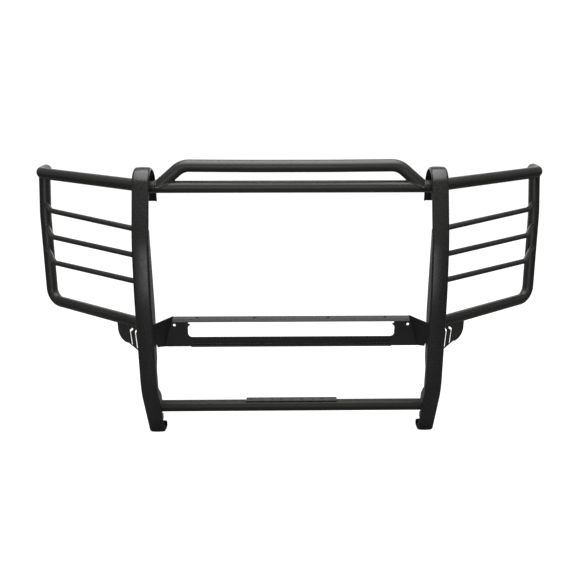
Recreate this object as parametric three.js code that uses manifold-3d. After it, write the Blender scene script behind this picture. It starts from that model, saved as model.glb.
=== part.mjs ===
// Front grille guard for a truck, welded from bent tube, pressed strip and folded sheet.
// Units are millimetres and +Z is up. The front of the guard faces -Y, the vehicle is at +Y.
// Everything is drawn about the axis of the top crossbar (Y = 0, Z = 0), and moved at the end
// so that the feet stand on Z = 0 and the depth of the guard is centred on Y = 0.
import * as THREE from 'three';
import { mergeVertices } from 'three/addons/utils/BufferGeometryUtils.js';
import Module from 'manifold-3d';

const wasm = await Module();
wasm.setup();

// Overall placing
const CROSSBAR_HEIGHT = 912; // axis of the top crossbar above the underside of the feet
const DEPTH_CENTRE = 78.42; // middle of the whole depth, measured back from the crossbar axis
const GAP = 0.3; // clearance left where two welded pieces meet

// Stock
const TUBE_OD = 42.2;
const TUBE_WALL = 3.2;
const TUBE_R = TUBE_OD / 2;
const SLAT_OD = 19.05;
const TUBE_SEGMENTS = 10; // half the number of sides of a tube
const SLAT_SEGMENTS = 6;
const BEND_STEP = 13; // degrees between stations in a bend

// Uprights: a pressed channel that is open to the rear
const UPRIGHT_X = 501;
const STRIP_WIDTH = 57.2;
const STRIP_DEPTH = 9.3;
const STRIP_WALL = 4;
const STRIP_SHOULDER = 9;
const SHOULDER_SEGMENTS = 2;
// Side run of the outer surface as [Y, Z], from the end of the curl's rear leg to the foot lip
const STRIP_RUN = [
  [66, -62], [66, 66.5], [-45.5, 66.5], [-133, -164], [-161, -345],
  [-176, -695], [-90.5, -912], [-35, -912], [-35, -888],
];
const STRIP_BENDS = [66, 65.9, 425, 1000, 220, 36, 12.5];
const LIP_NOTCH_WIDTH = 18;
const LIP_NOTCH_BOTTOM = -899;

// Plates inside the uprights
const PLATE_THICKNESS = 5;
const INNER_PLATE_X = 477; // face that looks to the middle of the guard
const OUTER_PLATE_X = 520;
const PLATE_INSET = 7.5; // from the outer surface of the strip to the front edge of a plate
const BOLT_DIAMETER = 17;
const BOLT_Y = 22;
const BOLT_HEIGHTS = [-460, -540];

// Crossbars and bump bar
const LOWER_BAR = [-108, -784]; // Y, Z of the lower crossbar axis
const BUMP_Z = 72;
const BUMP_BEND_X = 369; // where the straight run and the sloping end would meet
const BUMP_END_X = 454; // where the sloping end meets the crossbar axis
const BUMP_BEND_R = 68;
const BUMP_BOW = 12; // how far the middle stands forward
const BUMP_BOW_X = 130;
const BUMP_BOW_R = 1500;

// Step strip on the lower crossbar
const STEP_LENGTH = 330;
const STEP_WIDTH = 26;
const STEP_THICKNESS = 3.5;
const STEP_HOLES = 9;
const STEP_PITCH = 36.7;
const STEP_HOLE_DIAMETER = 11;

// Wings
const WING_TOP_Z = 6.5;
const WING_TOP_RUN = [[500, -17.6], [945, 255], [948, 330]]; // |X|, Y
const WING_TOP_BEND = 60;
const WING_OUTER_RUN = [
  [942, 290, 0], [956.3, 285, -158], [961.5, 262, -505], [500, -26, -505],
];
const WING_OUTER_BENDS = [500, 50];
const SLATS = [
  { z: -120, run: [[528.3, -101], [889.5, 170], [951.5, 286]] },
  { z: -207, run: [[528.3, -118], [878.5, 120], [954, 276]] },
  { z: -293.5, run: [[528.3, -135], [866.5, 78], [953, 252]] },
];
const SLAT_BEND = 34;

// Slotted gusset under the bottom tube of each wing, drawn in the upright plane of that tube
const GUSSET_THICKNESS = 5;
const GUSSET_START = [524, -11]; // |X|, Y of the inner end of that plane
const GUSSET_SWEEP = 31.35; // degrees
const GUSSET_TOP = -505 - TUBE_R - GAP;
const SLOT_WIDTH = 8;

// Light tray
const SHEET = 3;
const TRAY_WEB_Y = -64; // front face of the web
const TRAY_TOP = -450.5;
const TRAY_BOTTOM = -568;
const LIP_BOTTOM = -561.5;
const TRAY_END_TOP_X = 419;
const TRAY_END_BOTTOM_X = 455;
const WINDOW_X = 370;
const WINDOW_TOP = -468.5;
const WINDOW_BOTTOM = -531.5;
const WINDOW_R = 14;
const WINDOW_TAB = [[370, -495], [367, -489], [360, -484], [368, -479], [368, -475]]; // |X|, Z
const FLANGE_BEND_Y = -92;
const FLANGE_FRONT_Y = -99.5;
const FLANGE_DROP = 8;
const FLANGE_HOLES_X = [130, 332];
const FLANGE_HOLES_Y = -80;
const TRAY_HOLE_DIAMETER = 10;
const LIP_HALF_LENGTH = 358;
const LIP_REACH = 20;
const TRAY_END_HOLE = [417.5, -487];

const degrees = Math.PI / 180;

function powderCoat(colour, roughness, metalness) {
  return new THREE.MeshStandardMaterial({ color: colour, roughness, metalness });
}

const tubeCoat = powderCoat('#2b2b28', 0.5, 0.3);
const slatCoat = powderCoat('#30302c', 0.55, 0.3);
const stripCoat = powderCoat('#262624', 0.45, 0.35);
const plateCoat = powderCoat('#353532', 0.6, 0.3);
const sheetCoat = powderCoat('#1d1d1c', 0.55, 0.25);
const trimCoat = powderCoat('#3a3a37', 0.6, 0.35);

// A run of straight lengths joined by round bends, with stations only where they are needed.
class BentPath extends THREE.Curve {
  constructor(corners, radii, stepDegrees = BEND_STEP) {
    super();
    this.points = [];
    this.tangents = [];
    const along = (a, b) => new THREE.Vector3().subVectors(b, a).normalize();
    this.station(corners[0], along(corners[0], corners[1]));
    for (let i = 1; i < corners.length - 1; i += 1) {
      this.bend(corners[i], along(corners[i - 1], corners[i]),
        along(corners[i], corners[i + 1]), radii[i - 1], stepDegrees);
    }
    const last = corners.length - 1;
    this.station(corners[last], along(corners[last - 1], corners[last]));
  }

  station(point, tangent) {
    const previous = this.points[this.points.length - 1];
    if (previous && previous.distanceTo(point) < 0.5) {
      return;
    }
    this.points.push(point.clone());
    this.tangents.push(tangent.clone());
  }

  bend(corner, into, outOf, radius, stepDegrees) {
    const turn = into.angleTo(outOf);
    const reach = radius * Math.tan(turn / 2);
    const toCentre = outOf.clone().addScaledVector(into, -into.dot(outOf)).normalize();
    const centre = corner.clone().addScaledVector(into, -reach).addScaledVector(toCentre, radius);
    const steps = Math.max(2, Math.ceil(turn / (stepDegrees * degrees)));
    for (let k = 0; k <= steps; k += 1) {
      const angle = (turn * k) / steps;
      const point = centre.clone()
        .addScaledVector(toCentre, -radius * Math.cos(angle))
        .addScaledVector(into, radius * Math.sin(angle));
      const tangent = into.clone().multiplyScalar(Math.cos(angle))
        .addScaledVector(toCentre, Math.sin(angle));
      this.station(point, tangent);
    }
  }

  getSpacedPoints() {
    return this.points;
  }

  getPoint(t, target = new THREE.Vector3()) {
    return target.copy(this.points[Math.round(t * (this.points.length - 1))]);
  }

  getTangentAt(u, target = new THREE.Vector3()) {
    return target.copy(this.tangents[Math.round(u * (this.points.length - 1))]);
  }
}

function sweep(shape, path, curveSegments) {
  return new THREE.ExtrudeGeometry(shape, {
    extrudePath: path,
    steps: path.points.length - 1,
    curveSegments,
    bevelEnabled: false,
  });
}

function roundSection(diameter, wall) {
  const shape = new THREE.Shape();
  shape.absarc(0, 0, diameter / 2, 0, 2 * Math.PI, false);
  if (wall > 0) {
    const bore = new THREE.Path();
    bore.absarc(0, 0, diameter / 2 - wall, 0, 2 * Math.PI, true);
    shape.holes.push(bore);
  }
  return shape;
}

function solidOf(geometry) {
  const bare = geometry.clone();
  bare.deleteAttribute('normal');
  bare.deleteAttribute('uv');
  const merged = mergeVertices(bare, 1e-4);
  return new wasm.Manifold(new wasm.Mesh({
    numProp: 3,
    vertProperties: merged.attributes.position.array,
    triVerts: new Uint32Array(merged.index.array),
  }));
}

function geometryOf(solid) {
  const mesh = solid.getMesh();
  const geometry = new THREE.BufferGeometry();
  geometry.setAttribute('position', new THREE.BufferAttribute(mesh.vertProperties, 3));
  geometry.setIndex(new THREE.BufferAttribute(mesh.triVerts, 1));
  geometry.computeVertexNormals();
  return geometry;
}

// The same piece on the other side of the middle plane, still facing out.
function mirrored(geometry) {
  const other = geometry.index ? geometry.toNonIndexed() : geometry.clone();
  other.scale(-1, 1, 1);
  const p = other.attributes.position.array;
  for (let i = 0; i < p.length; i += 9) {
    for (let k = 0; k < 3; k += 1) {
      [p[i + 3 + k], p[i + 6 + k]] = [p[i + 6 + k], p[i + 3 + k]];
    }
  }
  other.computeVertexNormals();
  return other;
}

function block(x0, x1, y0, y1, z0, z1) {
  const box = new THREE.BoxGeometry(x1 - x0, y1 - y0, z1 - z0);
  box.translate((x0 + x1) / 2, (y0 + y1) / 2, (z0 + z1) / 2);
  return solidOf(box);
}

// A plain round cutter along one axis ('x', 'y' or 'z').
function drill(axis, diameter, length, x, y, z) {
  const cutter = new THREE.CylinderGeometry(diameter / 2, diameter / 2, length, 14);
  if (axis === 'x') {
    cutter.rotateZ(Math.PI / 2);
  }
  if (axis === 'z') {
    cutter.rotateX(Math.PI / 2);
  }
  cutter.translate(x, y, z);
  return solidOf(cutter);
}

// Takes off everything that lies nearer the middle plane than a given |X|.
function cutInboard(solid, x) {
  return solid.subtract(block(-x, x, -600, 600, -1200, 400));
}

function pathOf(corners, radii, stepDegrees) {
  return new BentPath(corners.map((c) => new THREE.Vector3(...c)), radii, stepDegrees);
}

function tube(corners, radii) {
  return sweep(roundSection(TUBE_OD, TUBE_WALL), pathOf(corners, radii), TUBE_SEGMENTS);
}

// A solid bar of the same run, a little larger, used to cope what is welded to the tube.
function copeCutter(corners, radii) {
  return solidOf(sweep(roundSection(TUBE_OD + 2 * GAP, 0), pathOf(corners, radii), TUBE_SEGMENTS));
}

// Uprights

function stripPath() {
  return pathOf(STRIP_RUN.map(([y, z]) => [0, y, z]), STRIP_BENDS, 11);
}

// Drawn as [depth into the channel, across the strip].
function stripSection() {
  const half = STRIP_WIDTH / 2;
  const flat = half - STRIP_SHOULDER;
  const inner = STRIP_SHOULDER - STRIP_WALL;
  const turn = Math.PI / 2;
  const shape = new THREE.Shape();
  shape.moveTo(STRIP_DEPTH, -half);
  shape.lineTo(STRIP_SHOULDER, -half);
  shape.absarc(STRIP_SHOULDER, -flat, STRIP_SHOULDER, 3 * turn, 2 * turn, true);
  shape.absarc(STRIP_SHOULDER, flat, STRIP_SHOULDER, 2 * turn, turn, true);
  shape.lineTo(STRIP_DEPTH, half);
  shape.lineTo(STRIP_DEPTH, half - STRIP_WALL);
  shape.absarc(STRIP_SHOULDER, flat, inner, turn, 2 * turn, false);
  shape.absarc(STRIP_SHOULDER, -flat, inner, 2 * turn, 3 * turn, false);
  shape.lineTo(STRIP_DEPTH, -half + STRIP_WALL);
  shape.closePath();
  return shape;
}

function upright() {
  const strip = sweep(stripSection(), stripPath(), SHOULDER_SEGMENTS);
  strip.translate(UPRIGHT_X, 0, 0);
  const half = LIP_NOTCH_WIDTH / 2;
  const lipY = STRIP_RUN[STRIP_RUN.length - 1][0];
  const notchMiddle = LIP_NOTCH_BOTTOM + half;
  const notch = block(UPRIGHT_X - half, UPRIGHT_X + half, lipY - 30, lipY + 10, notchMiddle, -870)
    .add(drill('y', LIP_NOTCH_WIDTH, 40, UPRIGHT_X, lipY - 10, notchMiddle));
  return geometryOf(solidOf(strip).subtract(notch));
}

// Front edge of a plate that stands inside the strip, between two heights, as [Y, Z].
function edgeInsideStrip(zTop, zBottom) {
  const path = stripPath();
  const edge = path.points.map((p, i) => {
    const t = path.tangents[i];
    return [p.y - PLATE_INSET * t.z, p.z + PLATE_INSET * t.y];
  });
  const cutAt = (a, b, z) => [a[0] + ((b[0] - a[0]) * (z - a[1])) / (b[1] - a[1]), z];
  const kept = [];
  for (let i = 1; i < edge.length; i += 1) {
    const [a, b] = [edge[i - 1], edge[i]];
    if (b[1] >= a[1]) {
      continue;
    }
    if (a[1] > zTop && b[1] <= zTop) {
      kept.push(cutAt(a, b, zTop));
    }
    if (b[1] < zTop && b[1] > zBottom) {
      kept.push(b);
    }
    if (a[1] > zBottom && b[1] <= zBottom) {
      kept.push(cutAt(a, b, zBottom));
    }
  }
  return kept;
}

// A flat plate drawn as [Y, Z] and standing on the plane of a given X.
function standingPlate(outline, x) {
  const shape = new THREE.Shape(outline.map(([y, z]) => new THREE.Vector2(y, z)));
  const plate = new THREE.ExtrudeGeometry(shape, {
    depth: PLATE_THICKNESS,
    bevelEnabled: false,
  });
  plate.applyMatrix4(new THREE.Matrix4().makeBasis(
    new THREE.Vector3(0, 1, 0), new THREE.Vector3(0, 0, 1), new THREE.Vector3(1, 0, 0)));
  plate.translate(x, 0, 0);
  return plate;
}

function innerPlate() {
  const outline = [
    ...edgeInsideStrip(-110, -862),
    [-97, -838], [-82, -806], [-77, -784], [-82, -752], [-104, -724], [-125, -704],
    [-125, -625], [-107, -590], [-104, -560], [-84, -430], [-80, -200], [-80, -110],
  ];
  return standingPlate(outline, INNER_PLATE_X);
}

// The outer plate closes the curl and carries the wing, the gusset and the vehicle bolts.
function outerPlate() {
  const outline = [
    ...edgeInsideStrip(57, -862),
    [-97, -838], [-100, -700], [-70, -650], [30, -640], [48, -620], [48, -440], [30, -415],
    [-55, -385], [-85, -350], [-85, -110], [-60, -60], [30, -36], [54, -20], [54, 20],
    [40, 41], [22, 53], [0, 58],
  ];
  let plate = solidOf(standingPlate(outline, OUTER_PLATE_X));
  for (const z of BOLT_HEIGHTS) {
    plate = plate.subtract(drill('x', BOLT_DIAMETER, 30, OUTER_PLATE_X, BOLT_Y, z));
  }
  return geometryOf(plate);
}

// Crossbars, bump bar and step

const topBarEnd = OUTER_PLATE_X - GAP;
const topBarRun = [[-topBarEnd, 0, 0], [topBarEnd, 0, 0]];

function topCrossbar() {
  return tube(topBarRun, []);
}

function lowerCrossbar() {
  const end = INNER_PLATE_X - GAP;
  return tube([[-end, ...LOWER_BAR], [end, ...LOWER_BAR]], []);
}

function bumpBar() {
  const half = [
    [BUMP_END_X, 0, 0], [BUMP_BEND_X, 0, BUMP_Z], [BUMP_BOW_X, -BUMP_BOW, BUMP_Z],
  ];
  const run = [...half.map(([x, y, z]) => [-x, y, z]), ...half.slice().reverse()];
  const radii = [BUMP_BEND_R, BUMP_BOW_R, BUMP_BOW_R, BUMP_BEND_R];
  const whole = solidOf(tube(run, radii));
  const below = block(-UPRIGHT_X, UPRIGHT_X, -60, 60, -60, 0);
  return geometryOf(whole.subtract(copeCutter(topBarRun, [])).subtract(below));
}

function stepStrip() {
  const under = LOWER_BAR[1] + TUBE_R + GAP;
  let strip = block(-STEP_LENGTH / 2, STEP_LENGTH / 2, LOWER_BAR[0] - STEP_WIDTH / 2,
    LOWER_BAR[0] + STEP_WIDTH / 2, under, under + STEP_THICKNESS);
  for (let i = 0; i < STEP_HOLES; i += 1) {
    const x = (i - (STEP_HOLES - 1) / 2) * STEP_PITCH;
    strip = strip.subtract(drill('z', STEP_HOLE_DIAMETER, 20, x, LOWER_BAR[0], under));
  }
  return geometryOf(strip);
}

// Wings

const wingTopRun = WING_TOP_RUN.map(([x, y]) => [x, y, WING_TOP_Z]);
const plateOutside = OUTER_PLATE_X + PLATE_THICKNESS + GAP;

function wingTopTube() {
  return geometryOf(cutInboard(solidOf(tube(wingTopRun, [WING_TOP_BEND])), plateOutside));
}

function wingOuterTube() {
  const whole = solidOf(tube(WING_OUTER_RUN, WING_OUTER_BENDS));
  const coped = whole.subtract(copeCutter(wingTopRun, [WING_TOP_BEND]));
  return geometryOf(cutInboard(coped, plateOutside));
}

function slat({ z, run }) {
  const corners = run.map(([x, y]) => [x, y, z]);
  const rod = sweep(roundSection(SLAT_OD, 0), pathOf(corners, [SLAT_BEND]), SLAT_SEGMENTS);
  const coped = solidOf(rod).subtract(copeCutter(WING_OUTER_RUN, WING_OUTER_BENDS));
  return geometryOf(cutInboard(coped, UPRIGHT_X + STRIP_WIDTH / 2 + GAP));
}

// The straight, round-ended stretches that make up a kinked slot.
function slotStretches(points, width) {
  const turn = Math.PI / 2;
  const stretch = (a, b) => {
    const angle = Math.atan2(b[1] - a[1], b[0] - a[0]);
    const slot = new THREE.Shape();
    slot.absarc(b[0], b[1], width / 2, angle - turn, angle + turn, false);
    slot.absarc(a[0], a[1], width / 2, angle + turn, angle + 3 * turn, false);
    return slot;
  };
  return points.slice(1).map((b, i) => stretch(points[i], b));
}

// [along the wing from the upright, Z]
function gussetOutline() {
  const shape = new THREE.Shape();
  shape.moveTo(-20, GUSSET_TOP);
  shape.lineTo(-20, -646);
  shape.lineTo(58, -621);
  shape.lineTo(104, -599.5);
  shape.absarc(106, -553, 48, -1.45, 0, false);
  shape.lineTo(154, GUSSET_TOP);
  shape.closePath();
  return shape;
}

function flatInWing(shape, depth) {
  const sheet = new THREE.ExtrudeGeometry(shape, { depth, bevelEnabled: false, curveSegments: 3 });
  sheet.translate(0, 0, -depth / 2);
  const out = new THREE.Vector3(
    Math.cos(GUSSET_SWEEP * degrees), Math.sin(GUSSET_SWEEP * degrees), 0);
  const up = new THREE.Vector3(0, 0, 1);
  sheet.applyMatrix4(new THREE.Matrix4().makeBasis(out, up, out.clone().cross(up)));
  sheet.translate(GUSSET_START[0], GUSSET_START[1], 0);
  return sheet;
}

function gusset() {
  let plate = solidOf(flatInWing(gussetOutline(), GUSSET_THICKNESS));
  const slots = [
    [[78.5, -537], [92, -548], [87.3, -601]],
    [[58, -538], [66.5, -549], [62.7, -611]],
  ];
  for (const slot of slots) {
    for (const stretch of slotStretches(slot, SLOT_WIDTH)) {
      plate = plate.subtract(solidOf(flatInWing(stretch, 4 * GUSSET_THICKNESS)));
    }
  }
  return geometryOf(cutInboard(plate, plateOutside));
}

// Light tray

function trayWeb() {
  const shape = new THREE.Shape();
  shape.moveTo(-TRAY_END_TOP_X, TRAY_TOP);
  shape.lineTo(-TRAY_END_BOTTOM_X, TRAY_BOTTOM);
  shape.lineTo(-LIP_HALF_LENGTH, TRAY_BOTTOM);
  shape.lineTo(-LIP_HALF_LENGTH, LIP_BOTTOM);
  shape.lineTo(LIP_HALF_LENGTH, LIP_BOTTOM);
  shape.lineTo(LIP_HALF_LENGTH, TRAY_BOTTOM);
  shape.lineTo(TRAY_END_BOTTOM_X, TRAY_BOTTOM);
  shape.lineTo(TRAY_END_TOP_X, TRAY_TOP);
  shape.closePath();
  const hole = new THREE.Path();
  const left = WINDOW_R - WINDOW_X;
  const right = WINDOW_X - WINDOW_R;
  const low = WINDOW_BOTTOM + WINDOW_R;
  hole.moveTo(-WINDOW_X + WINDOW_R, WINDOW_TOP);
  for (const [x, z] of WINDOW_TAB.slice().reverse()) {
    hole.lineTo(-x, z);
  }
  hole.lineTo(-WINDOW_X, low);
  hole.absarc(left, low, WINDOW_R, Math.PI, 1.5 * Math.PI, false);
  hole.absarc(right, low, WINDOW_R, 1.5 * Math.PI, 2 * Math.PI, false);
  for (const [x, z] of WINDOW_TAB) {
    hole.lineTo(x, z);
  }
  hole.lineTo(WINDOW_X - WINDOW_R, WINDOW_TOP);
  hole.closePath();
  shape.holes.push(hole);
  const web = new THREE.ExtrudeGeometry(shape, {
    depth: SHEET,
    bevelEnabled: false,
    curveSegments: 3,
  });
  web.rotateX(Math.PI / 2);
  web.translate(0, TRAY_WEB_Y + SHEET, 0);
  return solidOf(web);
}

// A strip of the tray drawn as a [Y, Z] outline and as long as twice halfLength.
function trayFold(outline, halfLength) {
  const shape = new THREE.Shape(outline.map(([y, z]) => new THREE.Vector2(y, z)));
  const fold = new THREE.ExtrudeGeometry(shape, {
    depth: 2 * halfLength,
    bevelEnabled: false,
  });
  fold.applyMatrix4(new THREE.Matrix4().makeBasis(
    new THREE.Vector3(0, 1, 0), new THREE.Vector3(0, 0, 1), new THREE.Vector3(1, 0, 0)));
  fold.translate(-halfLength, 0, 0);
  return solidOf(fold);
}

function lightTray() {
  const back = TRAY_WEB_Y + SHEET;
  const flange = trayFold([
    [back, TRAY_TOP - SHEET - 1], [back, TRAY_TOP], [FLANGE_BEND_Y, TRAY_TOP],
    [FLANGE_FRONT_Y, TRAY_TOP - FLANGE_DROP], [FLANGE_FRONT_Y, TRAY_TOP - FLANGE_DROP - SHEET],
    [FLANGE_BEND_Y, TRAY_TOP - SHEET],
  ], TRAY_END_TOP_X - 6);
  const lip = trayFold([
    [back, LIP_BOTTOM], [back, LIP_BOTTOM + SHEET],
    [TRAY_WEB_Y - LIP_REACH, LIP_BOTTOM + SHEET], [TRAY_WEB_Y - LIP_REACH, LIP_BOTTOM],
  ], LIP_HALF_LENGTH);
  let tray = trayWeb().add(flange).add(lip);
  for (const side of [-1, 1]) {
    for (const x of FLANGE_HOLES_X) {
      tray = tray.subtract(drill('z', TRAY_HOLE_DIAMETER, 30, side * x, FLANGE_HOLES_Y, TRAY_TOP));
    }
    const [x, z] = TRAY_END_HOLE;
    tray = tray.subtract(drill('y', TRAY_HOLE_DIAMETER, 30, side * x, TRAY_WEB_Y, z));
  }
  return geometryOf(tray);
}

// The folded end of the tray, from the slanting end of the web forward to the upright.
function trayEnd() {
  const a = new THREE.Vector3(TRAY_END_TOP_X, TRAY_WEB_Y, TRAY_TOP);
  const b = new THREE.Vector3(TRAY_END_BOTTOM_X, TRAY_WEB_Y, TRAY_BOTTOM);
  const c = new THREE.Vector3(490, -138, TRAY_TOP - 9);
  const up = new THREE.Vector3().subVectors(a, b).normalize();
  const normal = new THREE.Vector3().subVectors(c, b).cross(up).normalize();
  const out = up.clone().cross(normal);
  const flat = (p) => {
    const d = p.clone().sub(b);
    return new THREE.Vector2(d.dot(out), d.dot(up));
  };
  const start = 1.6;
  const outline = [
    new THREE.Vector2(start, 0), new THREE.Vector2(flat(c).x, flat(c).y - 86),
    flat(c), new THREE.Vector2(start, flat(a).y),
  ];
  const plate = new THREE.ExtrudeGeometry(new THREE.Shape(outline), {
    depth: SHEET,
    bevelEnabled: false,
  });
  plate.translate(0, 0, -SHEET);
  plate.applyMatrix4(new THREE.Matrix4().makeBasis(out, up, normal));
  plate.translate(b.x, b.y, b.z);
  const outside = block(INNER_PLATE_X - GAP, 700, -400, 200, -800, 0);
  const web = block(-500, 500, TRAY_WEB_Y - GAP, 100, -700, -300);
  return geometryOf(solidOf(plate).subtract(outside).subtract(web));
}

const guard = new THREE.Group();
guard.name = 'front_grille_guard';

function place(name, geometry, material) {
  geometry.translate(0, -DEPTH_CENTRE, CROSSBAR_HEIGHT);
  const mesh = new THREE.Mesh(geometry, material);
  mesh.name = name;
  guard.add(mesh);
}

// Right is +X, the right-hand side for someone who faces the front of the guard.
function placePair(name, geometry, material) {
  const other = mirrored(geometry);
  place(`${name}_right`, geometry, material);
  place(`${name}_left`, other, material);
}

place('top_crossbar', topCrossbar(), tubeCoat);
place('bump_bar', bumpBar(), tubeCoat);
place('lower_crossbar', lowerCrossbar(), tubeCoat);
place('step_strip', stepStrip(), trimCoat);
place('light_tray', lightTray(), sheetCoat);
placePair('tray_end', trayEnd(), sheetCoat);
placePair('upright', upright(), stripCoat);
placePair('inner_plate', innerPlate(), plateCoat);
placePair('outer_plate', outerPlate(), plateCoat);
placePair('wing_top_tube', wingTopTube(), tubeCoat);
placePair('wing_outer_tube', wingOuterTube(), tubeCoat);
placePair('wing_gusset', gusset(), plateCoat);
SLATS.forEach((row, i) => placePair(`slat_${i + 1}`, slat(row), slatCoat));

export default guard;
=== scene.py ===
import math

import bmesh
import bpy
from mathutils import Matrix, Vector
from mathutils.geometry import tessellate_polygon

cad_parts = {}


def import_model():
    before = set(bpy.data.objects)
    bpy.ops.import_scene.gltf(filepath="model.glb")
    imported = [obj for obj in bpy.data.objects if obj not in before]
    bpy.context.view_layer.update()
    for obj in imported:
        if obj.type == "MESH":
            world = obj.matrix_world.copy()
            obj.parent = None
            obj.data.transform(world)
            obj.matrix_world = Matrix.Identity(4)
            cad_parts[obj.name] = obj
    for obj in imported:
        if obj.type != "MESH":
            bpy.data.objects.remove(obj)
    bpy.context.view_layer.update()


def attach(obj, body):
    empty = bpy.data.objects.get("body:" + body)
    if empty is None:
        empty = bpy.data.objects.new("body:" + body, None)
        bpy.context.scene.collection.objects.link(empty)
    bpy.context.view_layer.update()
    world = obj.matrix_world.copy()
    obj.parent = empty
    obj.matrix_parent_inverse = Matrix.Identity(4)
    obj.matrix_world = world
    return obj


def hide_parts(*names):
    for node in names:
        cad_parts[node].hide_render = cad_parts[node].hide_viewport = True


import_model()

# The guard is drawn in millimetres about the axis of the top crossbar and then moved into the
# frame: the feet stand on Z = 0 and the depth is centred on Y = 0. The front faces -Y.
DEPTH_CENTRE = 78.42
CROSSBAR_HEIGHT = 912.0
MM = 0.001
RIGHT = 1
LEFT = -1
SIDES = ((RIGHT, "right"), (LEFT, "left"))

TUBE_R = 21.1
TUBE_WALL = 3.2
SLAT_R = 9.52
OUTER_PLATE_X = 520.0
PLATE_T = 5.0
INNER_PLATE_X = 477.0
BOLT_Y = 22
BOLT_HEIGHTS = (-460, -540)
BOLT_HOLE = 17

# ---------------------------------------------------------------- mesh helpers


def to_frame(point, side=RIGHT):
    x, y, z = point
    return Vector((side * x * MM, (y - DEPTH_CENTRE) * MM, (z + CROSSBAR_HEIGHT) * MM))


def link(name, mesh, material, nodes=()):
    piece = bpy.data.objects.new(name, mesh)
    bpy.context.scene.collection.objects.link(piece)
    mesh.materials.append(material)
    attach(piece, "root")
    if nodes:
        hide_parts(*nodes)
    return piece


def mesh_from(name, verts, faces, side=RIGHT, smooth=35.0):
    mesh = bpy.data.meshes.new(name)
    mesh.from_pydata([to_frame(v, side) for v in verts], [], faces)
    bm = bmesh.new()
    bm.from_mesh(mesh)
    bmesh.ops.recalc_face_normals(bm, faces=bm.faces)
    bm.to_mesh(mesh)
    bm.free()
    shade(mesh, smooth)
    return mesh


def shade(mesh, smooth):
    for polygon in mesh.polygons:
        polygon.use_smooth = True
    mesh.set_sharp_from_angle(angle=math.radians(smooth))


def baked(mesh, modifiers):
    """Applies a list of (type, settings) modifiers to a mesh that is in the frame already."""
    holder = bpy.data.objects.new("holder", mesh)
    bpy.context.scene.collection.objects.link(holder)
    for kind, settings in modifiers:
        modifier = holder.modifiers.new(kind.lower(), kind)
        for key, value in settings.items():
            setattr(modifier, key, value)
    graph = bpy.context.evaluated_depsgraph_get()
    result = bpy.data.meshes.new_from_object(holder.evaluated_get(graph), depsgraph=graph)
    bpy.data.objects.remove(holder)
    return result


def cut(mesh, cutters, operation="DIFFERENCE"):
    holders = []
    for cutter in cutters:
        holder = bpy.data.objects.new("cutter", cutter)
        bpy.context.scene.collection.objects.link(holder)
        holders.append(holder)
    result = baked(mesh, [
        ("BOOLEAN", {"operation": operation, "object": holder, "solver": "EXACT"})
        for holder in holders
    ])
    for holder in holders:
        bpy.data.objects.remove(holder)
    return result


def bevelled(mesh, width, segments=2, angle=40.0, smooth=35.0):
    result = baked(mesh, [("BEVEL", {
        "width": width * MM, "segments": segments, "limit_method": "ANGLE",
        "angle_limit": math.radians(angle), "use_clamp_overlap": True,
    })])
    shade(result, smooth)
    return baked(result, [("WEIGHTED_NORMAL", {"keep_sharp": True})])


def bent_path(corners, radii, step=4.0, straight=60.0):
    """Points and tangents along straight runs joined by round bends."""
    points = [Vector(c) for c in corners]
    stations = []

    def add(point, tangent):
        if stations and (stations[-1][0] - point).length < 0.4:
            return
        if stations:
            start, first = stations[-1]
            gap = (point - start).length
            if first.angle(tangent) < 0.02 and gap > straight:
                count = int(gap // straight)
                for k in range(1, count + 1):
                    stations.append((start.lerp(point, k / (count + 1)), tangent.copy()))
        stations.append((point, tangent.copy()))

    add(points[0], (points[1] - points[0]).normalized())
    for i in range(1, len(points) - 1):
        into = (points[i] - points[i - 1]).normalized()
        out = (points[i + 1] - points[i]).normalized()
        turn = into.angle(out)
        radius = radii[i - 1]
        reach = radius * math.tan(turn / 2)
        inward = (out - into * into.dot(out)).normalized()
        centre = points[i] - into * reach + inward * radius
        steps = max(2, math.ceil(math.degrees(turn) / step))
        for k in range(steps + 1):
            a = turn * k / steps
            add(centre - inward * radius * math.cos(a) + into * radius * math.sin(a),
                into * math.cos(a) + inward * math.sin(a))
    add(points[-1], (points[-1] - points[-2]).normalized())
    return stations


def frames_along(stations):
    """A normal and a binormal at each station, carried along with no twist."""
    frames = []
    tangent = stations[0][1]
    normal = Vector((0, 0, 1)).cross(tangent)
    if normal.length < 0.1:
        normal = Vector((1, 0, 0))
    normal = (normal - tangent * normal.dot(tangent)).normalized()
    for point, direction in stations:
        turn = tangent.rotation_difference(direction)
        normal = turn @ normal
        normal = (normal - direction * normal.dot(direction)).normalized()
        frames.append((point, direction, normal, direction.cross(normal)))
        tangent = direction
    return frames


def ring(frame_at, radius, count):
    point, _, normal, binormal = frame_at
    return [
        point + normal * radius * math.cos(2 * math.pi * k / count)
        + binormal * radius * math.sin(2 * math.pi * k / count)
        for k in range(count)
    ]


def on_plane_x(points, direction, x):
    return [p + direction * ((x - p.x) / direction.x) for p in points]


def on_tube(points, direction, axis_point, axis, radius):
    """Slides points along a direction until they meet a round tube's surface."""
    axis = Vector(axis).normalized()
    base = Vector(axis_point)
    flat_dir = direction - axis * direction.dot(axis)
    found = []
    for p in points:
        rel = p - base
        flat = rel - axis * rel.dot(axis)
        a = flat_dir.dot(flat_dir)
        b = 2 * flat.dot(flat_dir)
        c = flat.dot(flat) - radius * radius
        root = b * b - 4 * a * c
        if root < 0:
            t = -b / (2 * a)
        elif direction.dot(flat) < 0:
            t = (-b - math.sqrt(root)) / (2 * a)
        else:
            t = (-b + math.sqrt(root)) / (2 * a)
        found.append(p + direction * t)
    return found


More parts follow.
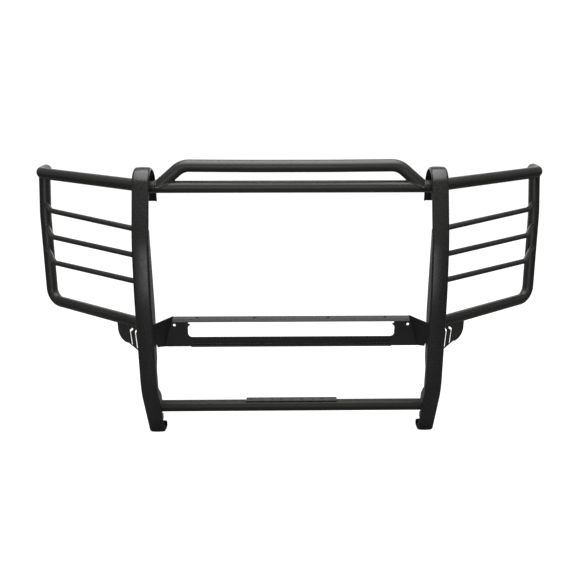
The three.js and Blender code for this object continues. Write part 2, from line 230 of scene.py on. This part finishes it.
def skin(rings, closed=False):
    """Quads between rings of equal count."""
    count = len(rings[0])
    verts = [v for r in rings for v in r]
    faces = []
    last = len(rings) if closed else len(rings) - 1
    for i in range(last):
        j = (i + 1) % len(rings)
        for k in range(count):
            m = (k + 1) % count
            faces.append((i * count + k, i * count + m, j * count + m, j * count + k))
    return verts, faces


def capped(rings):
    verts, faces = skin(rings)
    count = len(rings[0])
    faces.append(tuple(range(count)))
    faces.append(tuple(range(len(verts) - count, len(verts))))
    return verts, faces


class Tube:
    """A round tube or rod, with each end left open, closed, or landed on what it meets."""

    def __init__(self, corners, radii, radius=TUBE_R, count=40, step=4.0):
        self.frames = frames_along(bent_path(corners, radii, step))
        self.radius = radius
        self.count = count
        self.rings = [ring(f, radius, count) for f in self.frames]

    def direction(self, end):
        return self.frames[end][1]

    def land(self, end, landing):
        """landing takes points and a direction, and gives where they meet the other piece."""
        self.rings[end] = landing(self.rings[end], self.direction(end))
        return self.rings[end]

    def solid(self, hollow_end=None):
        """hollow_end is 0 or -1 for the end that shows the wall of the tube.

        Open fault: the inner wall starts at the first station, not where the other
        end was landed, so it sticks out through what the tube lands on.
        """
        if hollow_end is None:
            return capped(self.rings)
        order = self.rings if hollow_end == -1 else self.rings[::-1]
        frames = self.frames if hollow_end == -1 else self.frames[::-1]
        inner = [ring(f, self.radius - TUBE_WALL, self.count) for f in frames[::-1]]
        edge = 0.5
        end = frames[-1]
        away = end[1] if hollow_end == -1 else -end[1]
        lip = [p - away * edge for p in order[-1]]
        face = [end[0] + (p - end[0]) * (1 - edge / self.radius) for p in order[-1]]
        return skin(order[:-1] + [lip, face] + inner, closed=True)


def plate_mesh(name, outline, thickness, matrix, holes=(), bevel=0.6, side=RIGHT):
    """A flat plate drawn in 2-D, given thickness along the matrix's Z, with softened edges."""
    loops = [[Vector((x, y, 0)) for x, y in outline]]
    loops += [[Vector((x, y, 0)) for x, y in hole] for hole in holes]
    flat = [p for loop in loops for p in loop]
    triangles = tessellate_polygon(loops)
    verts = [matrix @ p for p in flat]
    verts += [matrix @ (p + Vector((0, 0, thickness))) for p in flat]
    n = len(flat)
    faces = [tuple(t) for t in triangles]
    faces += [tuple(i + n for i in reversed(t)) for t in triangles]
    start = 0
    for loop in loops:
        size = len(loop)
        for k in range(size):
            a, b = start + k, start + (k + 1) % size
            faces.append((a, b, b + n, a + n))
        start += size
    mesh = mesh_from(name, verts, faces, side)
    bm = bmesh.new()
    bm.from_mesh(mesh)
    bmesh.ops.dissolve_limit(bm, angle_limit=0.002, verts=bm.verts, edges=bm.edges)
    bm.to_mesh(mesh)
    bm.free()
    return bevelled(mesh, bevel) if bevel else mesh


def arc(cx, cy, radius, start, end, steps):
    return [
        (cx + radius * math.cos(math.radians(start + (end - start) * k / steps)),
         cy + radius * math.sin(math.radians(start + (end - start) * k / steps)))
        for k in range(steps + 1)
    ]


def circle(cx, cy, diameter, count=28):
    return arc(cx, cy, diameter / 2, 0, 360 * (count - 1) / count, count - 1)


def rounded(points, radius, steps=4):
    """Rounds each corner of a closed outline, by less where its sides are short."""
    result = []
    size = len(points)
    for i, corner in enumerate(points):
        here = Vector(corner)
        before = Vector(points[i - 1]) - here
        after = Vector(points[(i + 1) % size]) - here
        turn = math.pi - before.angle(after)
        if turn < 0.12:
            result.append(tuple(here))
            continue
        reach = min(radius * math.tan(turn / 2), before.length * 0.45, after.length * 0.45)
        a = here + before.normalized() * reach
        b = here + after.normalized() * reach
        for k in range(steps + 1):
            t = k / steps
            p = a * (1 - t) ** 2 + here * 2 * t * (1 - t) + b * t ** 2
            result.append((p.x, p.y))
    return result


STANDING = Matrix(((0, 0, 1, 0), (1, 0, 0, 0), (0, 1, 0, 0), (0, 0, 0, 1)))

bead_parts = {"right": [], "left": [], "centre": []}


def bead(where, path, radius=2.6, closed=True, side=RIGHT):
    """A weld bead with the small regular ripple of its runs, laid along a path."""
    pitch = 0.9
    points = [Vector(p) for p in path]
    if closed:
        points.append(points[0])
    dense = []
    for a, b in zip(points, points[1:]):
        count = max(1, round((b - a).length / pitch))
        dense += [a.lerp(b, k / count) for k in range(count)]
    if not closed:
        dense.append(points[-1])
    size = len(dense)
    rings = []
    normal = None
    for i, p in enumerate(dense):
        ahead = dense[(i + 1) % size] if closed or i + 1 < size else p
        behind = dense[i - 1] if closed or i > 0 else p
        tangent = (ahead - behind).normalized()
        if normal is None:
            normal = tangent.orthogonal().normalized()
        normal = (normal - tangent * normal.dot(tangent)).normalized()
        binormal = tangent.cross(normal)
        swell = radius * (1 + 0.13 * math.sin(2 * math.pi * i * pitch / 3.4)
                          + 0.06 * math.sin(i * 0.37))
        if not closed:
            swell *= min(1.0, 0.45 + 0.2 * min(i, size - 1 - i))
        rings.append([
            p + (normal * math.cos(a) + binormal * math.sin(a)) * swell
            for a in (2 * math.pi * k / 8 for k in range(8))
        ])
    verts, faces = skin(rings, closed) if closed else capped(rings)
    bead_parts[where].append((verts, faces, side))


# ---------------------------------------------------------------- materials


def powder_coat(name, dark, light, rough, grain=1.0, specular=0.5):
    """Satin black powder coat: fine orange peel, a slight mottle, and dust in broad patches."""
    material = bpy.data.materials.new(name)
    material.use_nodes = True
    nodes = material.node_tree.nodes
    links = material.node_tree.links
    shader = nodes["Principled BSDF"]
    shader.inputs["Specular IOR Level"].default_value = specular
    place = nodes.new("ShaderNodeTexCoord")

    def noise(scale, detail, roughness=0.5):
        node = nodes.new("ShaderNodeTexNoise")
        node.inputs["Scale"].default_value = scale
        node.inputs["Detail"].default_value = detail
        node.inputs["Roughness"].default_value = roughness
        links.new(place.outputs["Object"], node.inputs["Vector"])
        return node

    broad = noise(7.0, 3.0)
    mottle = noise(160.0, 2.0)
    colour = nodes.new("ShaderNodeMix")
    colour.data_type = "RGBA"
    colour.inputs["A"].default_value = (*dark, 1)
    colour.inputs["B"].default_value = (*light, 1)
    blend = nodes.new("ShaderNodeMath")
    blend.operation = "MULTIPLY_ADD"
    links.new(broad.outputs["Fac"], blend.inputs[0])
    blend.inputs[1].default_value = 0.75
    share = nodes.new("ShaderNodeMath")
    share.operation = "MULTIPLY"
    links.new(mottle.outputs["Fac"], share.inputs[0])
    share.inputs[1].default_value = 0.35
    links.new(share.outputs[0], blend.inputs[2])
    links.new(blend.outputs[0], colour.inputs["Factor"])
    links.new(colour.outputs["Result"], shader.inputs["Base Color"])
    satin = nodes.new("ShaderNodeMapRange")
    satin.inputs["From Min"].default_value = 0.3
    satin.inputs["From Max"].default_value = 0.7
    satin.inputs["To Min"].default_value = rough - 0.05
    satin.inputs["To Max"].default_value = rough + 0.06
    links.new(mottle.outputs["Fac"], satin.inputs["Value"])
    links.new(satin.outputs["Result"], shader.inputs["Roughness"])
    peel = nodes.new("ShaderNodeTexVoronoi")
    peel.feature = "SMOOTH_F1"
    peel.inputs["Scale"].default_value = 620.0
    links.new(place.outputs["Object"], peel.inputs["Vector"])
    fine = noise(1500.0, 2.0, 0.6)
    height = nodes.new("ShaderNodeMath")
    height.operation = "ADD"
    links.new(peel.outputs["Distance"], height.inputs[0])
    links.new(fine.outputs["Fac"], height.inputs[1])
    bump = nodes.new("ShaderNodeBump")
    bump.inputs["Strength"].default_value = 0.35 * grain
    bump.inputs["Distance"].default_value = 0.0004
    links.new(height.outputs[0], bump.inputs["Height"])
    links.new(bump.outputs["Normal"], shader.inputs["Normal"])
    return material


tube_coat = powder_coat(
    "tube_powder_coat", (0.010, 0.010, 0.009), (0.022, 0.022, 0.019), 0.38)
# A darker, less glossy copy of the tube coat for the lower crossbar: its darker colour is painted
# shade for the overhead light that the tray keeps off it.
shaded_low_coat = powder_coat(
    "shaded_low_tube_powder_coat", (0.009, 0.009, 0.008), (0.02, 0.02, 0.017), 0.44, specular=0.24)
slat_coat = powder_coat(
    "slat_powder_coat", (0.012, 0.012, 0.010), (0.026, 0.026, 0.022), 0.46)
strip_coat = powder_coat(
    "strip_powder_coat", (0.008, 0.008, 0.008), (0.016, 0.016, 0.015), 0.29, 0.6, 0.4)
plate_coat = powder_coat(
    "plate_powder_coat", (0.013, 0.013, 0.012), (0.028, 0.028, 0.025), 0.36)
sheet_coat = powder_coat(
    "sheet_powder_coat", (0.006, 0.006, 0.006), (0.014, 0.014, 0.013), 0.46, specular=0.4)
trim_coat = powder_coat(
    "trim_powder_coat", (0.012, 0.012, 0.011), (0.024, 0.024, 0.021), 0.5)
weld_coat = powder_coat(
    "weld_powder_coat", (0.012, 0.012, 0.011), (0.030, 0.030, 0.026), 0.5, 1.4)

# ---------------------------------------------------------------- uprights

STRIP_X = 501.0
STRIP_HALF = 28.6
STRIP_DEPTH = 9.3
STRIP_WALL = 4.0
STRIP_SHOULDER = 9.0
STRIP_CROWN = 1.0
STRIP_RUN = [
    (66, -62), (66, 66.5), (-45.5, 66.5), (-133, -164), (-161, -345),
    (-176, -695), (-90.5, -912), (-35, -912), (-35, -888),
]
STRIP_BENDS = [66, 65.9, 425, 1000, 220, 36, 12.5]


def strip_stations():
    return bent_path([(0, y, z) for y, z in STRIP_RUN], STRIP_BENDS, step=3.0, straight=25.0)


def strip_section():
    """The channel as (depth, across), with softened edges on the two open sides."""
    flat = STRIP_HALF - STRIP_SHOULDER
    inner = STRIP_SHOULDER - STRIP_WALL
    soft = 0.7
    half = [(STRIP_CROWN * ((k / 6) ** 2 - 1), flat * k / 6) for k in range(6)]
    half += [(STRIP_SHOULDER - STRIP_SHOULDER * math.cos(a), flat + STRIP_SHOULDER * math.sin(a))
             for a in (math.radians(d) for d in range(0, 91, 9))]
    half += [(STRIP_DEPTH - soft, STRIP_HALF), (STRIP_DEPTH - soft * 0.3, STRIP_HALF - soft * 0.3),
             (STRIP_DEPTH, STRIP_HALF - soft), (STRIP_DEPTH, STRIP_HALF - STRIP_WALL + soft),
             (STRIP_DEPTH - soft, STRIP_HALF - STRIP_WALL)]
    half += [(STRIP_SHOULDER - inner * math.cos(a), flat + inner * math.sin(a))
             for a in (math.radians(d) for d in range(90, -1, -15))]
    half += [(STRIP_WALL, 0.0)]
    return half + [(d, -a) for d, a in half[-2:0:-1]]


def upright(side, word):
    section = strip_section()
    rings = []
    for point, tangent in strip_stations():
        inward = Vector((0, -tangent.z, tangent.y))
        rings.append([
            Vector((STRIP_X + across, point.y, point.z)) + inward * depth
            for depth, across in section
        ])
    verts, faces = skin(rings)
    count = len(section)
    flat = [Vector((d, a, 0)) for d, a in section]
    cap = [tuple(t) for t in tessellate_polygon([flat])]
    last = len(verts) - count
    faces += cap
    faces += [tuple(i + last for i in t) for t in cap]
    mesh = mesh_from("upright_" + word, verts, faces, side, smooth=40.0)
    notch = arc(STRIP_X, -890, 9, 180, 360, 12) + [(STRIP_X + 9, -870), (STRIP_X - 9, -870)]
    across = Matrix(((1, 0, 0, 0), (0, 0, 1, -70), (0, 1, 0, 0), (0, 0, 0, 1)))
    cutter = plate_mesh("notch", notch, 60, across, bevel=0, side=side)
    # Open fault: the cutter ends up joined to the foot as a solid block, and the mesh
    # ends up inside out.
    mesh = cut(mesh, [cutter])
    shade(mesh, 40.0)
    link("upright_shell_" + word, mesh, strip_coat, ["upright_" + word])


def edge_inside_strip(top, bottom, inset=6.6):
    edge = [(p.y - inset * t.z, p.z + inset * t.y) for p, t in strip_stations()]
    kept = []
    for a, b in zip(edge, edge[1:]):
        if b[1] >= a[1]:
            continue
        for z in (top, bottom):
            if a[1] > z >= b[1]:
                kept.append((a[0] + (b[0] - a[0]) * (z - a[1]) / (b[1] - a[1]), z))
        if top > b[1] > bottom:
            kept.append(b)
    return kept


def inner_plate(side, word):
    rear = [
        (-97, -838), (-84, -806), (-78, -784), (-82, -752), (-104, -724), (-125, -704),
        (-125, -625), (-107, -590), (-104, -560), (-84, -430), (-80, -200), (-80, -110),
    ]
    outline = edge_inside_strip(-110, -862) + rounded(rear, 16)
    place = Matrix.Translation((INNER_PLATE_X, 0, 0)) @ STANDING
    mesh = plate_mesh("inner_plate_" + word, outline, PLATE_T, place, bevel=0.5, side=side)
    link("inner_web_" + word, mesh, plate_coat, ["inner_plate_" + word])


def outer_plate(side, word):
    rear = [
        (-97, -838), (-100, -700), (-70, -650), (30, -640), (48, -620), (48, -440), (30, -415),
        (-55, -385), (-85, -350), (-85, -110), (-60, -60), (30, -36), (54, -20), (54, 20),
        (40, 41), (22, 53), (0, 58),
    ]
    outline = edge_inside_strip(57, -862) + rounded(rear, 14)
    holes = [circle(BOLT_Y, z, BOLT_HOLE) for z in BOLT_HEIGHTS]
    place = Matrix.Translation((OUTER_PLATE_X, 0, 0)) @ STANDING
    mesh = plate_mesh("outer_plate_" + word, outline, PLATE_T, place, holes, 0.5, side)
    link("outer_web_" + word, mesh, plate_coat, ["outer_plate_" + word])


# ---------------------------------------------------------------- crossbars and step

LOWER_BAR = (-108.0, -784.0)


def straight_bar(name, end, y, z, node, coat):
    bar = Tube([(-end, y, z), (end, y, z)], [])
    mesh = mesh_from(name, *bar.solid())
    link(name, mesh, coat, [node])
    return bar


def crossbars():
    top = straight_bar("top_bar", OUTER_PLATE_X, 0, 0, "top_crossbar", tube_coat)
    low = straight_bar("lower_bar", INNER_PLATE_X, *LOWER_BAR, "lower_crossbar", shaded_low_coat)
    for bar in (top, low):
        bead("left", bar.rings[0], 3.0)
        bead("right", bar.rings[-1], 3.0)


BUMP_HALF = [(454, 0, 0), (369, 0, 72), (130, -12, 72)]
BUMP_RUN_UP = 45  # how far back from its end the tube starts towards the crossbar
BUMP_LAST_X = 420.2  # no section of the tube is kept further out, where it meets the crossbar


def bump_bar():
    corners = [(-x, y, z) for x, y, z in BUMP_HALF] + BUMP_HALF[::-1]
    bar = Tube(corners, [68, 1500, 1500, 68], step=3.0)
    for end, where in ((0, "left"), (-1, "right")):
        outward = bar.direction(end) * (1 if end else -1)
        start = [p - outward * BUMP_RUN_UP for p in bar.rings[end]]
        landed = on_tube(start, outward, (0, 0, 0), (1, 0, 0), TUBE_R - 0.4)
        bar.rings[end] = landed
        bead(where, landed, 3.0)
    keep = [i for i, f in enumerate(bar.frames)
            if 0 < i < len(bar.frames) - 1 and abs(f[0].x) < BUMP_LAST_X]
    bar.rings = [bar.rings[0]] + [bar.rings[i] for i in keep] + [bar.rings[-1]]
    mesh = mesh_from("bump_bar", *bar.solid())
    link("bump_tube", mesh, tube_coat, ["bump_bar"])


STEP_THICKNESS = 3.5
STEP_PITCH = 36.7


def step_strip():
    top = LOWER_BAR[1] + TUBE_R + 3.8
    outline = rounded([(-165, -121), (165, -121), (165, -95), (-165, -95)], 3)
    holes = [circle((i - 4) * STEP_PITCH, LOWER_BAR[0], 11) for i in range(9)]
    place = Matrix.Translation((0, 0, top - STEP_THICKNESS))
    mesh = plate_mesh("step_strip", outline, STEP_THICKNESS, place, holes, 0.5)
    link("step_plate", mesh, trim_coat, ["step_strip"])
    for i in range(8):
        x = (i - 3.5) * STEP_PITCH
        for y in (-119, -97):
            bead("centre", [(x - 9, y, top - 5.5), (x + 9, y, top - 5.5)], 1.8, closed=False)


# ---------------------------------------------------------------- wings

WING_TOP = [(500, -17.6, 6.5), (945, 255, 6.5), (948, 330, 6.5)]
WING_BEND_Z = -158
WING_BOTTOM_Z = -505
WING_OUTER = [(942, 290, 0), (956.3, 285, WING_BEND_Z), (961.5, 262, WING_BOTTOM_Z),
              (500, -26, WING_BOTTOM_Z)]
WING_OUTER_BENDS = [500, 50]
SLATS = [
    (-120, [(528, -101), (889.5, 170), (951.5, 286)]),
    (-207, [(528, -118), (878.5, 120), (954, 276)]),
    (-293.5, [(528, -135), (866.5, 78), (953, 252)]),
]
PLATE_OUTSIDE = OUTER_PLATE_X + PLATE_T
WING_CLEAR_X = PLATE_OUTSIDE + 16  # sections nearer the plate are dropped


def wing(side, word):
    top = Tube(WING_TOP, [60], step=3.0)
    top.land(0, lambda p, d: on_plane_x(p, d, PLATE_OUTSIDE - 0.3))
    bead(word, top.rings[0], 3.0, side=side)
    top.rings = [top.rings[0]] + [
        r for r, f in zip(top.rings[1:], top.frames[1:]) if f[0].x > WING_CLEAR_X]
    top.frames = [top.frames[0]] + [f for f in top.frames[1:] if f[0].x > WING_CLEAR_X]
    mesh = mesh_from("wing_top_" + word, *top.solid(hollow_end=-1), side=side)
    link("wing_top_bar_" + word, mesh, tube_coat, ["wing_top_tube_" + word])

    outer = Tube(WING_OUTER, WING_OUTER_BENDS, step=2.0)
    up = -outer.direction(0)
    start = [p - up * 40 for p in outer.rings[0]]
    landed = on_tube(start, up, (948, 300, 6.5), (0.04, 1, 0), TUBE_R - 0.4)
    outer.rings[0] = landed
    bead(word, landed, 3.0, side=side)
    outer.land(-1, lambda p, d: on_plane_x(p, d, PLATE_OUTSIDE - 0.3))
    bead(word, outer.rings[-1], 3.0, side=side)
    keep = [i for i, f in enumerate(outer.frames)
            if i and f[0].z < -42 and f[0].x > WING_CLEAR_X]
    outer.rings = [outer.rings[0]] + [outer.rings[i] for i in keep] + [outer.rings[-1]]
    mesh = mesh_from("wing_outer_" + word, *outer.solid(), side=side)
    link("wing_outer_bar_" + word, mesh, tube_coat, ["wing_outer_tube_" + word])

    for i, (z, run) in enumerate(SLATS):
        rod = Tube([(x, y, z) for x, y in run], [34], SLAT_R, 24, step=3.0)
        rod.land(0, lambda p, d: on_plane_x(p, d, 529.2))
        bead(word, rod.rings[0], 1.5, side=side)
        ahead = rod.direction(-1)
        start = [p - ahead * 45 for p in rod.rings[-1]]
        corners = WING_OUTER[:2] if z > WING_BEND_Z else WING_OUTER[1:3]
        above, below = (Vector(p) for p in corners)
        axis_point = above.lerp(below, (above.z - z) / (above.z - below.z))
        landed = on_tube(start, ahead, axis_point, below - above, TUBE_R - 0.4)
        rod.rings[-1] = landed
        bead(word, landed, 1.5, side=side)
        end = rod.frames[-1][0]
        keep = [j for j, f in enumerate(rod.frames)
                if 0 < j < len(rod.frames) - 1 and (f[0] - end).length > 42]
        rod.rings = [rod.rings[0]] + [rod.rings[j] for j in keep] + [rod.rings[-1]]
        mesh = mesh_from(f"slat_{i + 1}_{word}", *rod.solid(), side=side)
        link(f"slat_rod_{i + 1}_{word}", mesh, slat_coat, [f"slat_{i + 1}_{word}"])


GUSSET_SWEEP = math.radians(31.35)
GUSSET_CORNER = (524, -11)


def slot_outline(points, width):
    """A kinked slot of even width with round ends, from its centre line."""
    centre = [Vector(p) for p in points]
    first = centre[1] - centre[0]
    last = centre[-1] - centre[-2]
    a0 = math.degrees(math.atan2(first.y, first.x))
    a1 = math.degrees(math.atan2(last.y, last.x))
    r = width / 2
    bisect = (first.normalized() + last.normalized()).normalized()
    across = Vector((-bisect.y, bisect.x)) * r
    mid = centre[1]
    result = arc(*centre[0], r, a0 + 90, a0 + 270, 8)
    result.append(tuple(mid - across))
    result += arc(*centre[-1], r, a1 - 90, a1 + 90, 8)
    result.append(tuple(mid + across))
    return result


def gusset(side, word):
    top = WING_BOTTOM_Z - TUBE_R + 1.0
    outline = [(0.5, top), (0.5, -640), (58, -621), (104, -599.5)]
    outline += arc(106, -553, 48, -80, 0, 8) + [(154, top)]
    holes = [slot_outline([(78.5, -537), (92, -548), (87.3, -601)], 8),
             slot_outline([(58, -538), (66.5, -549), (62.7, -611)], 8)]
    out = Vector((math.cos(GUSSET_SWEEP), math.sin(GUSSET_SWEEP), 0))
    up = Vector((0, 0, 1))
    normal = out.cross(up)
    start = Vector((*GUSSET_CORNER, 0)) - normal * PLATE_T / 2
    place = Matrix((
        (out.x, up.x, normal.x, start.x), (out.y, up.y, normal.y, start.y),
        (out.z, up.z, normal.z, start.z), (0, 0, 0, 1)))
    mesh = plate_mesh("gusset_" + word, outline, PLATE_T, place, holes, 0.5, side)
    link("gusset_plate_" + word, mesh, plate_coat, ["wing_gusset_" + word])
    for offset in (-3.5, 3.5):
        seam = [Vector((*GUSSET_CORNER, top - 0.5)) + out * s + normal * offset
                for s in (8, 150)]
        bead(word, seam, 2.2, closed=False, side=side)


# ---------------------------------------------------------------- light tray

SHEET = 3.0
WEB_Y = -64.0
TRAY_TOP = -450.5
TRAY_BOTTOM = -568.0
TRAY_END_TOP_X = 419
TRAY_END_BOTTOM_X = 455
LIP_HALF = 358
BEYOND_TRAY_X = 480
LIGHT_HOLES_X = (130, 332)


def folded_sheet(name, centre_line, radii, half, thickness):
    """Sheet that follows a [Y, Z] line with round folds, extruded across the guard."""
    path = bent_path([(0, y, z) for y, z in centre_line], radii, step=12.0, straight=500.0)
    near = [Vector((0, p.y, p.z)) + Vector((0, -t.z, t.y)) * thickness / 2 for p, t in path]
    far = [Vector((0, p.y, p.z)) - Vector((0, -t.z, t.y)) * thickness / 2 for p, t in path]
    outline = near + far[::-1]
    rings = [[Vector((x, p.y, p.z)) for p in outline] for x in (-half, half)]
    verts, faces = skin(rings)
    count = len(outline)
    cap = [tuple(t) for t in tessellate_polygon([[Vector((p.y, p.z, 0)) for p in outline]])]
    faces += cap + [tuple(i + count for i in t) for t in cap]
    return mesh_from(name, verts, faces)


def prism(outline, y0, y1):
    """A cutter drawn as (X, Z) that runs from y0 to y1."""
    place = Matrix(((1, 0, 0, 0), (0, 0, 1, y0), (0, 1, 0, 0), (0, 0, 0, 1)))
    return plate_mesh("cutter", outline, y1 - y0, place, bevel=0)


def upright_prism(outline, z0, z1):
    place = Matrix.Translation((0, 0, z0))
    return plate_mesh("cutter", outline, z1 - z0, place, bevel=0)


WINDOW_TAB = [(370, -495), (367, -489), (360, -484), (368, -479), (368, -475), (356, -468.5)]


def light_tray():
    web = WEB_Y + SHEET / 2
    line = [(-99, -459.5), (-92, -452), (web, -452), (web, -560), (-84, -560)]
    sheet = folded_sheet("light_tray", line, [3, 4, 4], TRAY_END_BOTTOM_X, SHEET)
    window = [(-x, z) for x, z in WINDOW_TAB[::-1]] + arc(-356, -517.5, 14, 180, 270, 6)
    window += arc(356, -517.5, 14, 270, 360, 6) + WINDOW_TAB
    cutters = [prism(window, -80, -40)]
    for s in (-1, 1):
        ends = [(s * TRAY_END_TOP_X, -440), (s * TRAY_END_TOP_X, TRAY_TOP),
                (s * TRAY_END_BOTTOM_X, TRAY_BOTTOM), (s * TRAY_END_BOTTOM_X, -600),
                (s * BEYOND_TRAY_X, -600), (s * BEYOND_TRAY_X, -440)]
        cutters.append(prism(ends, -80, -40))
        flange = [(s * 414, -130), (s * 418.8, -64.2), (s * BEYOND_TRAY_X, -64.2),
                  (s * BEYOND_TRAY_X, -130)]
        cutters.append(upright_prism(flange, -480, -440))
        lip = [(s * LIP_HALF, -100), (s * LIP_HALF, WEB_Y), (s * BEYOND_TRAY_X, WEB_Y),
               (s * BEYOND_TRAY_X, -100)]
        cutters.append(upright_prism(lip, -580, -550))
        cutters.append(prism(circle(s * 417.5, -485, 10), -80, -40))
        for x in LIGHT_HOLES_X:
            cutters.append(upright_prism(circle(s * x, -80, 10), -470, -440))
    tabs = [prism([(s * LIP_HALF, -553), (s * 450.4, -553),
                   (s * TRAY_END_BOTTOM_X, TRAY_BOTTOM), (s * LIP_HALF, TRAY_BOTTOM)],
                  WEB_Y, WEB_Y + SHEET) for s in (-1, 1)]
    mesh = cut(cut(sheet, cutters), tabs, "UNION")
    mesh = bevelled(mesh, 0.5, 2, 50.0)
    link("tray_sheet", mesh, sheet_coat, ["light_tray"])


def tray_end(side, word):
    """Open fault: it goes about 4 mm through the inner plate."""
    a = Vector((TRAY_END_TOP_X, WEB_Y, TRAY_TOP))
    b = Vector((TRAY_END_BOTTOM_X, WEB_Y, TRAY_BOTTOM))
    c = Vector((490, -138, TRAY_TOP - 9))
    up = (a - b).normalized()
    normal = (c - b).cross(up).normalized()
    out = up.cross(normal)

    def flat(p):
        d = p - b
        return (d.dot(out), d.dot(up))

    reach = (INNER_PLATE_X - 0.5 - b.x) / out.x
    high = (INNER_PLATE_X - 0.5 - a.x) / out.x
    slope = (flat(c)[1] - flat(a)[1]) / flat(c)[0]
    outline = [(-0.5, 0), (reach, 2), (high, flat(a)[1] + slope * high), (-0.5, flat(a)[1])]
    start = b - normal * SHEET
    place = Matrix((
        (out.x, up.x, normal.x, start.x), (out.y, up.y, normal.y, start.y),
        (out.z, up.z, normal.z, start.z), (0, 0, 0, 1)))
    mesh = plate_mesh("tray_end_" + word, outline, SHEET, place, (), 0.5, side)
    link("tray_end_sheet_" + word, mesh, sheet_coat, ["tray_end_" + word])


def joined_beads():
    for word, parts in bead_parts.items():
        verts = []
        faces = []
        for part, quads, side in parts:
            start = len(verts)
            verts += [Vector((v.x * side, v.y, v.z)) for v in part]
            order = 1 if side == RIGHT else -1
            faces += [tuple(i + start for i in quad)[::order] for quad in quads]
        mesh = mesh_from("weld_beads_" + word, verts, faces, smooth=60.0)
        link("weld_beads_" + word, mesh, weld_coat)


crossbars()
bump_bar()
step_strip()
light_tray()
for side, word in SIDES:
    upright(side, word)
    inner_plate(side, word)
    outer_plate(side, word)
    wing(side, word)
    gusset(side, word)
    tray_end(side, word)
joined_beads()

# ---------------------------------------------------------------- studio


def plain_material(name, mirrored, glow):
    """A pale matt floor: white where it is looked at, dimmer where the guard mirrors it."""
    material = bpy.data.materials.new(name)
    material.use_nodes = True
    nodes = material.node_tree.nodes
    links = material.node_tree.links
    shader = nodes["Principled BSDF"]
    shader.inputs["Base Color"].default_value = (*mirrored, 1)
    shader.inputs["Roughness"].default_value = 1.0
    shader.inputs["Specular IOR Level"].default_value = 0.0
    shader.inputs["Emission Color"].default_value = (1, 1, 1, 1)
    path = nodes.new("ShaderNodeLightPath")
    level = nodes.new("ShaderNodeMath")
    level.operation = "MULTIPLY"
    level.inputs[1].default_value = glow
    links.new(path.outputs["Is Camera Ray"], level.inputs[0])
    links.new(level.outputs[0], shader.inputs["Emission Strength"])
    return material


def floor():
    mesh = bpy.data.meshes.new("floor")
    half = 40.0
    mesh.from_pydata([(-half, -half, 0), (half, -half, 0), (half, half, 0), (-half, half, 0)], [],
                     [(0, 1, 2, 3)])
    plane = bpy.data.objects.new("floor", mesh)
    bpy.context.scene.collection.objects.link(plane)
    mesh.materials.append(plain_material("floor_white", (0.2,) * 3, 1.02))


def world():
    scene_world = bpy.data.worlds.new("studio")
    scene_world.use_nodes = True
    bpy.context.scene.world = scene_world
    nodes = scene_world.node_tree.nodes
    links = scene_world.node_tree.links
    sky = nodes["Background"]
    sky.inputs["Strength"].default_value = 0.24
    sky.inputs["Color"].default_value = (1, 1, 1, 1)
    white = nodes.new("ShaderNodeBackground")
    white.inputs["Color"].default_value = (1, 1, 1, 1)
    white.inputs["Strength"].default_value = 1.05
    path = nodes.new("ShaderNodeLightPath")
    mix = nodes.new("ShaderNodeMixShader")
    links.new(path.outputs["Is Camera Ray"], mix.inputs[0])
    links.new(sky.outputs[0], mix.inputs[1])
    links.new(white.outputs[0], mix.inputs[2])
    links.new(mix.outputs[0], nodes["World Output"].inputs[0])


def area(name, location, target, size, size_y, power):
    lamp = bpy.data.lights.new(name, "AREA")
    lamp.shape = "RECTANGLE"
    lamp.size = size
    lamp.size_y = size_y
    lamp.energy = power
    holder = bpy.data.objects.new(name, lamp)
    holder.location = location
    holder.rotation_mode = "QUATERNION"
    holder.rotation_quaternion = (Vector(target) - Vector(location)).to_track_quat("-Z", "Y")
    holder.visible_camera = False
    bpy.context.scene.collection.objects.link(holder)


PHOTO_WIDTH = 568
CAMERA_LENS = 41.2
CAMERA_SHIFT = -15.15  # pixels of the photograph
CAMERA_Y = -2215.1
CAMERA_Z = 409.9
CAMERA_TILT = math.radians(70.99)
CAMERA_TURN = math.radians(-0.75)


def camera():
    data = bpy.data.cameras.new("camera")
    data.lens = CAMERA_LENS
    data.sensor_width = 36.0
    data.shift_x = CAMERA_SHIFT / PHOTO_WIDTH
    data.clip_end = 200.0
    holder = bpy.data.objects.new("camera", data)
    holder.location = to_frame((0, CAMERA_Y, CAMERA_Z))
    holder.rotation_euler = (CAMERA_TILT, 0, CAMERA_TURN)
    bpy.context.scene.collection.objects.link(holder)
    bpy.context.scene.camera = holder


floor()
world()
area("overhead", (0, -0.2, 2.5), (0, -0.05, 0.9), 2.4, 2.3, 92)
area("front", (-0.25, -3.3, 0.7), (0, 0, 0.6), 2.0, 0.8, 20)
area("backdrop", (0, 2.6, 1.0), (0, 0, 0.8), 4.5, 2.2, 36)
camera()
bpy.context.scene.view_settings.view_transform = "Standard"
